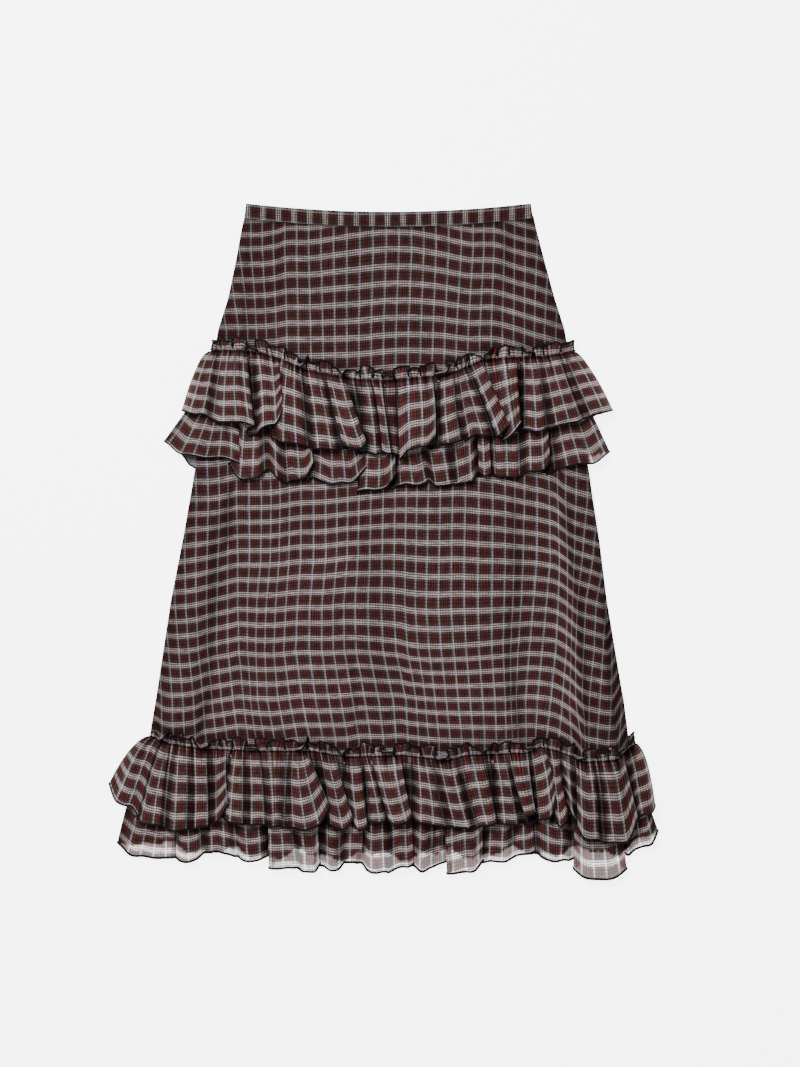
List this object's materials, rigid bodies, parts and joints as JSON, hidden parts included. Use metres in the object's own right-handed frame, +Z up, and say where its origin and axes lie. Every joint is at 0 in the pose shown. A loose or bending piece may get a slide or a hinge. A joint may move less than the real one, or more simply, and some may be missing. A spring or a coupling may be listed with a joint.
{
  "type": "tiered ruffle skirt",
  "caption": "A-line skirt in fine checked chiffon, laid flat, with a narrow waistband and layered, gathered ruffles round the hip and round the hem.",
  "frame": {"origin": "Middle of the skirt's outline, on the surface that it lies on.", "axes": "+Y runs up the skirt from hem to waist, +X is the right-hand side as one looks down on its front, and +Z points up from the surface, out of the front."},
  "size_m": [0.6585, 0.81, 0.0372],
  "materials": {
    "body_cloth": "matte fine chiffon, dark red, grey and cream check",
    "band_cloth": "matte fine chiffon, doubled, check cut crosswise",
    "ruffle_cloth": "matte fine chiffon, dark red, grey and cream check"
  },
  "bodies": {
    "root": {"back_panel": "body_cloth", "front_panel": "body_cloth", "waistband_back": "band_cloth", "waistband_front": "band_cloth", "hip_ruffle_under_front": "ruffle_cloth", "hip_ruffle_top_front": "ruffle_cloth", "hip_ruffle_under_back": "ruffle_cloth", "hip_ruffle_top_back": "ruffle_cloth", "hem_ruffle_under_front": "ruffle_cloth", "hem_ruffle_top_front": "ruffle_cloth", "hem_ruffle_under_back": "ruffle_cloth", "hem_ruffle_top_back": "ruffle_cloth"}
  },
  "joints": []
}
